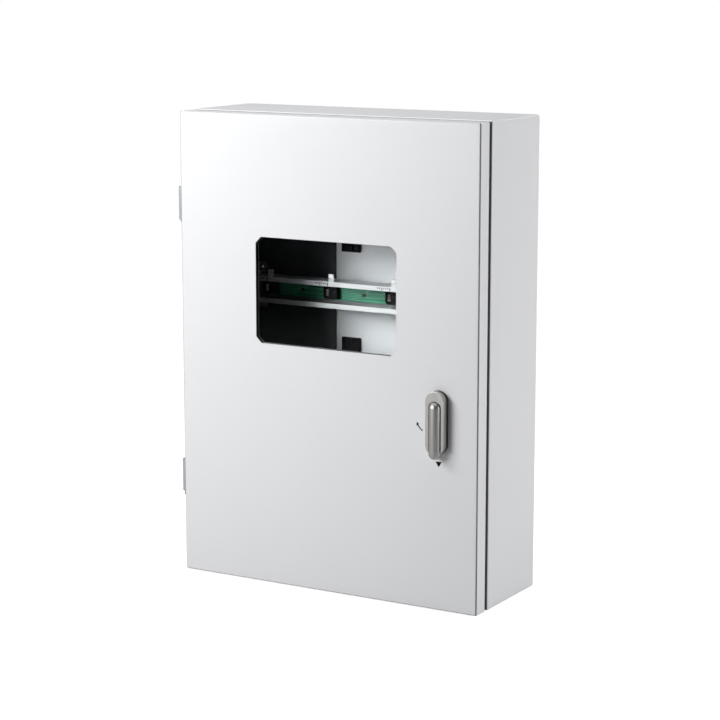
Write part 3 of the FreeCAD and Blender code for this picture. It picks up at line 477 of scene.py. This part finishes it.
foamSeal = surface(
    "foamSeal", mouldedGrain, 0.0002, 0.6, {"Specular IOR Level": 0.2},
    Colour=(0.035, 0.035, 0.038, 1), Worn_Colour=(0.06, 0.06, 0.064, 1), Grain_Scale=900.0, Roughness=0.8,
)
naturalStrip = surface(
    "naturalStrip", mouldedGrain, 0.00003, 0.2, {},
    Colour=(0.62, 0.6, 0.54, 1), Worn_Colour=(0.55, 0.53, 0.47, 1), Grain_Scale=1500.0, Roughness=0.5,
)
boardGreen = surface(
    "boardGreen", mouldedGrain, 0.00002, 0.1, {"Coat Weight": 0.3, "Coat Roughness": 0.2},
    Colour=(0.012, 0.17, 0.09, 1), Worn_Colour=(0.018, 0.23, 0.125, 1), Grain_Scale=1200.0, Roughness=0.35,
)
traceGreen = surface(
    "traceGreen", mouldedGrain, 0.00002, 0.1, {"Coat Weight": 0.3, "Coat Roughness": 0.2},
    Colour=(0.11, 0.46, 0.3, 1), Worn_Colour=(0.07, 0.38, 0.24, 1), Grain_Scale=1500.0, Roughness=0.3,
)
baseMoulding = surface(
    "baseMoulding", mouldedGrain, 0.00003, 0.2, {"Specular IOR Level": 0.45},
    edgeTone=((0.1, 0.1, 0.1, 1), 0.0004, 0.5),
    Colour=(0.03, 0.03, 0.031, 1), Worn_Colour=(0.05, 0.05, 0.05, 1), Roughness=0.35,
)
# the window frame is painted dark to stand in for the shade along the window's inner edges
frameShadePaint = surface(
    "frameShadePaint", powderCoat, 0.00006, 0.25, {"Specular IOR Level": 0.35},
    edgeTone=((0.32, 0.325, 0.33, 1), 0.0005, 0.5),
    Colour=(0.2, 0.203, 0.21, 1), Deep_Colour=(0.16, 0.163, 0.17, 1), Roughness=0.5,
)
printInk = surface(
    "printInk", mouldedGrain, 0.00001, 0.1, {"Specular IOR Level": 0.15},
    Colour=(0.003, 0.003, 0.0035, 1), Worn_Colour=(0.007, 0.007, 0.0075, 1),
    Grain_Scale=4000.0, Roughness=0.6,
)


def makeClearPane():
    # polycarbonate with a low skin reflection and the faintest of scuffs
    mat, tree, shader, coords = newMaterial("clearPane")
    for label, value in (("Transmission Weight", 1.0), ("IOR", 1.12), ("Roughness", 0.0)):
        shader.inputs[label].default_value = value
    scuff = addNode(tree, "ShaderNodeTexNoise", Scale=14.0, Detail=5.0, Roughness=0.65)
    tree.links.new(coords, scuff.inputs["Vector"])
    tint = addNode(tree, "ShaderNodeMix", data_type="RGBA")
    tint.inputs[6].default_value = (0.985, 0.99, 0.99, 1)
    tint.inputs[7].default_value = (0.955, 0.97, 0.97, 1)
    tree.links.new(scuff.outputs["Fac"], tint.inputs["Factor"])
    tree.links.new(tint.outputs[2], shader.inputs["Base Color"])
    bump = addNode(tree, "ShaderNodeBump", Strength=0.02, Distance=0.00002)
    tree.links.new(scuff.outputs["Fac"], bump.inputs["Height"])
    tree.links.new(bump.outputs["Normal"], shader.inputs["Normal"])
    return mat


clearPane = makeClearPane()
letLampLightThrough(clearPane, (0.93, 0.95, 0.95, 1))

give(bodyPaint, "body_shell")
give(doorPaint, "door_panel")
give(platePaint, "gland_plate")
give(
    zinc, "gland_plate_screws", "subpanel_studs", "subpanel_spacers", "subpanel_washers", "subpanel_nuts",
    "insulating_panel_screws", "rail_bracket_screws", "rail_screws",
    "earth_bar_screws", "earth_terminal_screws", "body_earth_stud", "body_earth_washer", "body_earth_nut",
    "hinge_pins", "hinge_body_screws", "hinge_body_nuts", "hinge_door_screws", "hinge_door_nuts",
    "window_studs", "window_nuts", "door_earth_stud", "door_earth_washer", "door_earth_nut",
    "handle_lock_nut", "lever_pin", "cam_washer", "cam_screw",
)
give(darkScrew, "board_screws")
give(rubberSeal, "gland_gasket", "window_gasket", "handle_gasket")
give(naturalStrip, "board_insulator", "earth_bar_posts")
give(printInk, "position_mark", "turn_arrow_mark")
give(clearPane, "window_pane")
print("finishes given")


def box(bm, low, high):
    made = bmesh.ops.create_cube(bm, size=1.0)["verts"]
    low, high = Vector(low), Vector(high)
    bmesh.ops.scale(bm, verts=made, vec=high - low)
    bmesh.ops.translate(bm, verts=made, vec=(low + high) / 2)
    return made


def bevelEdges(bm, edges, width, segments):
    bmesh.ops.bevel(
        bm, geom=edges, offset=width, offset_type="OFFSET", affect="EDGES", segments=segments,
        profile=0.5, material=-1, clamp_overlap=True,
    )


def edgesAt(verts):
    return list(dict.fromkeys(e for v in verts for e in v.link_edges))


def sharpEdges(bm, degrees):
    limit = math.radians(degrees)
    return [e for e in bm.edges if len(e.link_faces) == 2 and e.calc_face_angle(0.0) > limit]


meshLook = {
    "flatFace": 0.0003, "flatAngle": math.radians(0.3),  # a face this large or this level stays flat
    "weld": 0.000005, "mergeAngle": math.radians(0.6), "smoothAngle": math.radians(35),
}


def finishPiece(name, bm, mat, body, slot, *replaced):
    bmesh.ops.recalc_face_normals(bm, faces=bm.faces)
    # flat areas stay flat beside their rounded edges, however they are cut up
    smoothFaces = []
    for face in bm.faces:
        shared = [e for e in face.edges if len(e.link_faces) == 2]
        level = any(e.calc_face_angle(math.pi) < meshLook["flatAngle"] for e in shared)
        smoothFaces.append(not (level or face.calc_area() > meshLook["flatFace"]))
    mesh = bpy.data.meshes.new(name)
    bm.to_mesh(mesh)
    bm.free()
    mesh.materials.append(mat)
    mesh.set_sharp_from_angle(angle=meshLook["smoothAngle"])
    mesh.polygons.foreach_set("use_smooth", smoothFaces)
    obj = bpy.data.objects.new(name, mesh)
    bpy.context.scene.collection.objects.link(obj)
    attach(obj, body)
    if replaced:
        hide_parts(*replaced)


def mergedCopy(node):
    # the node's own shape with its loose triangles welded and its flat faces made whole
    bm = bmesh.new()
    bm.from_mesh(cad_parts[node].data)
    bmesh.ops.remove_doubles(bm, verts=bm.verts, dist=meshLook["weld"])
    bmesh.ops.dissolve_limit(
        bm, angle_limit=meshLook["mergeAngle"], verts=bm.verts, edges=bm.edges, delimit={"NORMAL"},
    )
    return bm


def softened(node, width, segments):
    # a copy of a node whose sheet and moulded edges are rounded as the real ones are
    bm = mergedCopy(node)
    bevelEdges(bm, sharpEdges(bm, 40), width, segments)
    return bm


softEdges = {
    # piece: node, finish, body, slot, edge width, segments
    "insulatingSheet": ("insulating_panel", blackSheet, "cabinet", "black_panel", 0.0004, 2),
    "mountingPlate": ("mounting_subpanel", platePaint, "cabinet", "plate_paint", 0.0004, 2),
    "upperClips": ("upper_latch_clips", blackMoulding, "cabinet", "black_plastic", 0.0005, 3),
    "lowerClips": ("lower_latch_clips", blackMoulding, "cabinet", "black_plastic", 0.0005, 3),
    "earthBarBrass": ("earth_bar", brass, "cabinet", "brass_bar", 0.0004, 2),
    "hingeBodyLeaves": ("hinge_body_leaves", hingePaint, "cabinet", "hinge_steel", 0.0004, 2),
    "hingeDoorLeaves": ("hinge_door_leaves", hingePaint, "door", "hinge_steel", 0.0004, 2),
    "railBrackets": ("rail_brackets", zinc, "cabinet", "zinc_steel", 0.0003, 2),
    "latchCam": ("latch_cam", zinc, "handle_rotor", "zinc_steel", 0.0004, 2),
    "windowFrame": ("window_frame", frameShadePaint, "door", "plate_paint", 0.0003, 2),
    "circuitBoardRail": ("circuit_board_rail", railMetal, "cabinet", "rail_paint", 0.0005, 3),
    "handleRotor": ("handle_rotor", nickel, "handle_rotor", "nickel_handle", 0.0006, 3),
    "handleBase": ("handle_base", baseMoulding, "door", "black_plastic", 0.0005, 2),
    "doorGasket": ("door_gasket", foamSeal, "door", "foam_seal", 0.003, 4),
}
for pieceName, (node, finish, body, slot, width, segments) in softEdges.items():
    finishPiece(pieceName, softened(node, width, segments), finish, body, slot, node)
print("edges softened")

leverLook = {
    "sides": 64, "rings": 32, "backEdge": 0.0004,
    "pinRadius": 0.00125, "heelTurn": 40, "heelReach": 0.00365,
}


def buildLever():
    # round bar with ball ends, flat behind, with the heel cut that lets it lift
    low, high = (Vector(corner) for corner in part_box("handle_lever"))
    radius = (high.x - low.x) / 2
    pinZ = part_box("lever_pin")[0][2] + leverLook["pinRadius"]
    axis = Vector(((low.x + high.x) / 2, low.y + radius, pinZ))
    bm = bmesh.new()
    bmesh.ops.create_uvsphere(
        bm, u_segments=leverLook["sides"], v_segments=leverLook["rings"], radius=radius,
    )
    # the ball is drawn out into a bar by its lower half
    lower = [v for v in bm.verts if v.co.z < -0.00001]
    bmesh.ops.translate(bm, verts=lower, vec=(0, 0, low.z + radius - axis.z))
    bmesh.ops.translate(bm, verts=bm.verts, vec=axis)
    turn = math.radians(leverLook["heelTurn"])
    heel = Vector((0, math.cos(turn), math.sin(turn)))
    backCut = (Vector((axis.x, high.y, axis.z)), Vector((0, 1, 0)))
    heelCut = (axis + heel * leverLook["heelReach"], heel)
    for place, normal in (backCut, heelCut):
        whole = list(bm.verts) + list(bm.edges) + list(bm.faces)
        bmesh.ops.bisect_plane(bm, geom=whole, plane_co=place, plane_no=normal, clear_outer=True)
        bmesh.ops.holes_fill(bm, edges=[e for e in bm.edges if e.is_boundary], sides=0)
    bevelEdges(bm, sharpEdges(bm, 30), leverLook["backEdge"], 2)
    finishPiece("handleLever", bm, nickel, "handle_lever", "nickel_handle", "handle_lever")


buildLever()
print("lever built")

boardLook = {
    "edge": 0.0002, "moduleStart": -0.1595, "modulePitch": 0.107, "modules": 4,
    "traceWidth": 0.00055, "traceHeight": 0.00006, "traceCount": 8, "tracePitch": 0.002375,
    "traceFrom": 0.002, "traceTo": -0.026,  # from one module's start to the next one's
    "bendAt": 0.3, "bendStep": 0.055,  # as a share of the run, and more for each row
    "jog": 0.0012, "outerJog": 0.0006, "screwJog": 0.00192, "screwZone": 0.003,
    "edgeGap": 0.001, "bentEdgeGap": 0.0008,
    "viaRows": (1, 4, 6), "viaBack": 0.004, "viaRadius": 0.0007, "viaTaper": 0.8, "viaHeight": 0.00018,
}


def strip(bm, start, finish, frontY, width, height):
    # one straight run of a trace, from (x, z) to (x, z), that laps a little over the next
    run = Vector((finish[0] - start[0], 0, finish[1] - start[1]))
    half = run.length / 2 + width * 0.2
    made = box(bm, (-half, frontY - height, -width / 2), (half, frontY + height, width / 2))
    turn = Matrix.Rotation(-math.atan2(run.z, run.x), 3, "Y")
    bmesh.ops.rotate(bm, verts=made, cent=(0, 0, 0), matrix=turn)
    bmesh.ops.translate(bm, verts=made, vec=((start[0] + finish[0]) / 2, 0, (start[1] + finish[1]) / 2))


def buildBoard():
    low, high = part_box("circuit_board")
    slab = bmesh.new()
    box(slab, low, high)
    bevelEdges(slab, list(slab.edges), boardLook["edge"], 2)
    finishPiece("circuitBoard", slab, boardGreen, "cabinet", "board_green", "circuit_board")
    centreZ = (low[2] + high[2]) / 2
    frontY = low[1]
    traces = bmesh.new()
    vias = bmesh.new()
    lastRow = boardLook["traceCount"] - 1
    for module in range(boardLook["modules"] - 1):
        moduleX = boardLook["moduleStart"] + module * boardLook["modulePitch"]
        left = moduleX + boardLook["traceFrom"]
        right = moduleX + boardLook["modulePitch"] + boardLook["traceTo"]
        for row in range(boardLook["traceCount"]):
            z = centreZ + (row - lastRow / 2) * boardLook["tracePitch"]
            middle = left + (right - left) * (boardLook["bendAt"] + boardLook["bendStep"] * row)
            if abs(z - centreZ) > boardLook["screwZone"]:
                step = boardLook["outerJog"] if row in (0, lastRow) else boardLook["jog"]
                bend = step if row % 2 else -step
            else:  # the rows near the middle go round the fixing screw
                bend = boardLook["screwJog"] if z > centreZ else -boardLook["screwJog"]
            z = min(max(z, low[2] + boardLook["edgeGap"]), high[2] - boardLook["edgeGap"])
            far = min(max(z + bend, low[2] + boardLook["bentEdgeGap"]), high[2] - boardLook["bentEdgeGap"])
            points = [(left, z), (middle, z), (middle + abs(far - z), far), (right, far)]
            for start, finish in zip(points, points[1:]):
                strip(traces, start, finish, frontY, boardLook["traceWidth"], boardLook["traceHeight"])
            if row in boardLook["viaRows"]:
                via = bmesh.ops.create_cone(
                    vias, cap_ends=True, segments=12, radius1=boardLook["viaRadius"],
                    radius2=boardLook["viaRadius"] * boardLook["viaTaper"], depth=boardLook["viaHeight"],
                )["verts"]
                turn = Matrix.Rotation(math.pi / 2, 3, "X")
                bmesh.ops.rotate(vias, verts=via, cent=(0, 0, 0), matrix=turn)
                bmesh.ops.translate(vias, verts=via, vec=(middle - boardLook["viaBack"], frontY, z))
    finishPiece("boardTraces", traces, traceGreen, "cabinet", "board_green")
    finishPiece("boardVias", vias, zinc, "cabinet", "contact_metal")


buildBoard()
print("circuit board built")

connectorLook = {
    "edge": 0.0004, "keyIn": 0.005, "keyWidth": 0.0012, "keyProud": 0.0008, "keyBack": 0.001,
    "latchIn": 0.0025, "latchWidth": 0.008, "latchHalf": 0.005, "latchProud": 0.0006, "latchDeep": 0.001,
    "pinTip": 0.0012, "pinTaper": 0.45,
}


def looseBoxes(node):
    # (low, high) of each separate solid in a node
    bm = mergedCopy(node)
    left = set(bm.verts)
    found = []
    while left:
        group = {left.pop()}
        edge = list(group)
        while edge:
            near = {e.other_vert(v) for v in edge for e in v.link_edges} - group
            group |= near
            edge = list(near)
        left -= group
        found.append(tuple(Vector([pick(v.co[i] for v in group) for i in range(3)]) for pick in (min, max)))
    bm.free()
    return sorted(found, key=lambda ends: (round(ends[0].x, 5), round(ends[0].z, 5)))


def buildConnectors():
    bm = softened("board_connectors", connectorLook["edge"], 2)
    for low, high in looseBoxes("board_connectors"):
        # keying ribs above and below, and the raised latch pad beside the socket
        keyX = low.x + connectorLook["keyIn"]
        keyY = low.y + connectorLook["keyBack"]
        for bottom in (low.z - connectorLook["keyProud"], high.z):
            top = bottom + connectorLook["keyProud"]
            box(bm, (keyX, keyY, bottom), (keyX + connectorLook["keyWidth"], high.y, top))
        middleZ = (low.z + high.z) / 2
        padX = high.x - connectorLook["latchIn"]
        pad = box(
            bm,
            (padX - connectorLook["latchWidth"], low.y - connectorLook["latchProud"],
             middleZ - connectorLook["latchHalf"]),
            (padX, low.y + connectorLook["latchDeep"], middleZ + connectorLook["latchHalf"]),
        )
        bevelEdges(bm, edgesAt(pad), connectorLook["edge"], 2)
    finishPiece("boardConnectors", bm, blackMoulding, "cabinet", "black_plastic", "board_connectors")
    pins = bmesh.new()
    for low, high in looseBoxes("connector_contacts"):
        tip = low.y + connectorLook["pinTip"]
        box(pins, (low.x, tip, low.z), high)
        point = box(pins, (low.x, low.y, low.z), (high.x, tip, high.z))
        front = [v for v in point if v.co.y < low.y + 0.0001]
        middle = (low + high) / 2
        for v in front:
            v.co.x = middle.x + (v.co.x - middle.x) * connectorLook["pinTaper"]
            v.co.z = middle.z + (v.co.z - middle.z) * connectorLook["pinTaper"]
    finishPiece("connectorPins", pins, paleContact, "cabinet", "contact_metal", "connector_contacts")


buildConnectors()
print("connectors built")

railMarkLook = {
    "tickWidth": 0.0015, "tickPitch": 0.0034, "ticks": 7, "shortTick": 0.0024, "longTick": 0.0042,
    "longEvery": 4, "thickness": 0.00005, "fromTab": -0.006, "overBoard": 0.0072,
    "padWidth": 0.0045, "padHeight": 0.006, "padDrop": 0.0085, "padProud": 0.0002, "padEdge": 0.00012,
}


def buildRailMarks():
    # a plain printed scale on the upper lip beside each tab, and a pressed pad on each tab
    low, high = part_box("circuit_board_rail")
    frontY = low[1]
    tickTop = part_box("circuit_board")[1][2] + railMarkLook["overBoard"]
    padBottom = high[2] - railMarkLook["padDrop"]
    tickHalf, padHalf = railMarkLook["tickWidth"] / 2, railMarkLook["padWidth"] / 2
    thin, proud = railMarkLook["thickness"], railMarkLook["padProud"]
    ticks = bmesh.new()
    pads = bmesh.new()
    for module in range(boardLook["modules"]):
        tabX = boardLook["moduleStart"] + module * boardLook["modulePitch"]
        for i in range(railMarkLook["ticks"]):
            x = tabX + railMarkLook["fromTab"] - i * railMarkLook["tickPitch"]
            length = railMarkLook["shortTick" if i % railMarkLook["longEvery"] else "longTick"]
            bottom = tickTop - length
            box(ticks, (x - tickHalf, frontY - thin, bottom), (x + tickHalf, frontY + thin, tickTop))
        pad = box(
            pads, (tabX - padHalf, frontY - proud, padBottom),
            (tabX + padHalf, frontY + proud, padBottom + railMarkLook["padHeight"]),
        )
        bevelEdges(pads, edgesAt(pad), railMarkLook["padEdge"], 2)
    finishPiece("railTicks", ticks, printInk, "cabinet", "mark_black")
    finishPiece("tabPads", pads, railMetal, "cabinet", "rail_paint")


buildRailMarks()
print("rail marks built")


studio = {
    "worldLight": 0.015,
    "lamps": [
        # name, place, aimed at, size, power
        ("keySoftbox", (-0.95, -2.25, 0.62), (0, -0.1, 0), 0.95, 25.0),
        ("highSoftbox", (-0.75, -1.05, 0.75), (-0.1, -0.1, 0.15), 0.6, 10.4),
        ("sideSoftbox", (2.2, 0.5, 0.25), (0.25, -0.08, -0.05), 1.0, 30.0),
        ("topSoftbox", (0.0, 0.1, 1.9), (0, -0.08, 0.35), 1.2, 21.9),
    ],
}
floorLook = {
    "colour": (0.5, 0.5, 0.5, 1), "roughness": 0.9, "reach": 40.0, "underObject": 0.0005,
    "shade": (0.6, 0.6, 0.6, 1), "glow": 0.8, "shadowReach": 1.1, "whiteReach": 2.6,
}


def softbox(name, place, target, size, power):
    lamp = bpy.data.lights.new(name, "AREA")
    lamp.shape = "SQUARE"
    lamp.size = size
    lamp.energy = power
    obj = bpy.data.objects.new(name, lamp)
    bpy.context.scene.collection.objects.link(obj)
    obj.location = place
    obj.rotation_euler = (Vector(target) - Vector(place)).to_track_quat("-Z", "Y").to_euler()


def buildFloor():
    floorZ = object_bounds()[0][2] - floorLook["underObject"]
    bm = bmesh.new()
    bmesh.ops.create_grid(bm, x_segments=4, y_segments=4, size=floorLook["reach"])
    bmesh.ops.translate(bm, verts=bm.verts, vec=(0, 0, floorZ))
    mesh = bpy.data.meshes.new("studioFloor")
    bm.to_mesh(mesh)
    bm.free()
    floor = bpy.data.objects.new("studioFloor", mesh)
    bpy.context.scene.collection.objects.link(floor)
    mat, tree, shader, coords = newMaterial("studioFloor")
    mesh.materials.append(mat)
    shader.inputs["Base Color"].default_value = floorLook["colour"]
    shader.inputs["Roughness"].default_value = floorLook["roughness"]
    # seen straight, the floor keeps its shade near the object and turns plain white further out
    fromCentre = addNode(tree, "ShaderNodeVectorMath", operation="LENGTH")
    tree.links.new(coords, fromCentre.inputs[0])
    fade = rangeOf(tree, fromCentre.outputs["Value"], floorLook["shadowReach"], floorLook["whiteReach"])
    fade.node.inputs["To Min"].default_value = floorLook["glow"]
    glow = addNode(tree, "ShaderNodeEmission", Color=(1, 1, 1, 1))
    shade = addNode(tree, "ShaderNodeBsdfDiffuse", Color=floorLook["shade"])
    seen = tree.nodes.new("ShaderNodeAddShader")
    path = tree.nodes.new("ShaderNodeLightPath")
    mix = tree.nodes.new("ShaderNodeMixShader")
    tree.links.new(fade, glow.inputs["Strength"])
    tree.links.new(glow.outputs[0], seen.inputs[0])
    tree.links.new(shade.outputs[0], seen.inputs[1])
    tree.links.new(path.outputs["Is Camera Ray"], mix.inputs["Fac"])
    tree.links.new(shader.outputs[0], mix.inputs[1])
    tree.links.new(seen.outputs[0], mix.inputs[2])
    tree.links.new(mix.outputs[0], nodeOf(mat, "OUTPUT_MATERIAL").inputs["Surface"])


def buildWorld():
    world = bpy.data.worlds.new("studioWorld")
    bpy.context.scene.world = world
    world.use_nodes = True
    tree = world.node_tree
    tree.nodes.clear()
    out = tree.nodes.new("ShaderNodeOutputWorld")
    lit = addNode(tree, "ShaderNodeBackground", Color=(1, 1, 1, 1), Strength=studio["worldLight"])
    seen = addNode(tree, "ShaderNodeBackground", Color=(1, 1, 1, 1), Strength=1.0)
    path = tree.nodes.new("ShaderNodeLightPath")
    mix = tree.nodes.new("ShaderNodeMixShader")
    # the backdrop is white where it is seen straight or through the pane, and dim to all other rays
    straight = addNode(tree, "ShaderNodeMath", operation="LESS_THAN")
    tree.links.new(path.outputs["Diffuse Depth"], straight.inputs[0])
    straight.inputs[1].default_value = 0.5
    throughPane = addNode(tree, "ShaderNodeMath", operation="MULTIPLY")
    tree.links.new(path.outputs["Is Transmission Ray"], throughPane.inputs[0])
    tree.links.new(straight.outputs[0], throughPane.inputs[1])
    white = addNode(tree, "ShaderNodeMath", operation="MAXIMUM")
    tree.links.new(path.outputs["Is Camera Ray"], white.inputs[0])
    tree.links.new(throughPane.outputs[0], white.inputs[1])
    tree.links.new(white.outputs[0], mix.inputs["Fac"])
    tree.links.new(lit.outputs[0], mix.inputs[1])
    tree.links.new(seen.outputs[0], mix.inputs[2])
    tree.links.new(mix.outputs[0], out.inputs["Surface"])


cameraSet = {
    "place": (1.61721, -2.83855, 0.56486), "turn": 30.43174, "tilt": -10.34160,
    "sensor": 36.0, "lens": 109.09, "farEnd": 50.0,
}


def buildCamera():
    camera = bpy.data.cameras.new("camera")
    camera.sensor_width = cameraSet["sensor"]
    camera.lens = cameraSet["lens"]
    camera.clip_end = cameraSet["farEnd"]
    obj = bpy.data.objects.new("camera", camera)
    bpy.context.scene.collection.objects.link(obj)
    obj.location = cameraSet["place"]
    obj.rotation_euler = (math.radians(90 + cameraSet["tilt"]), 0, math.radians(cameraSet["turn"]))
    bpy.context.scene.camera = obj


for lampValues in studio["lamps"]:
    softbox(*lampValues)
buildFloor()
buildWorld()
buildCamera()
bpy.context.scene.view_settings.view_transform = "Standard"
print("studio and camera set")
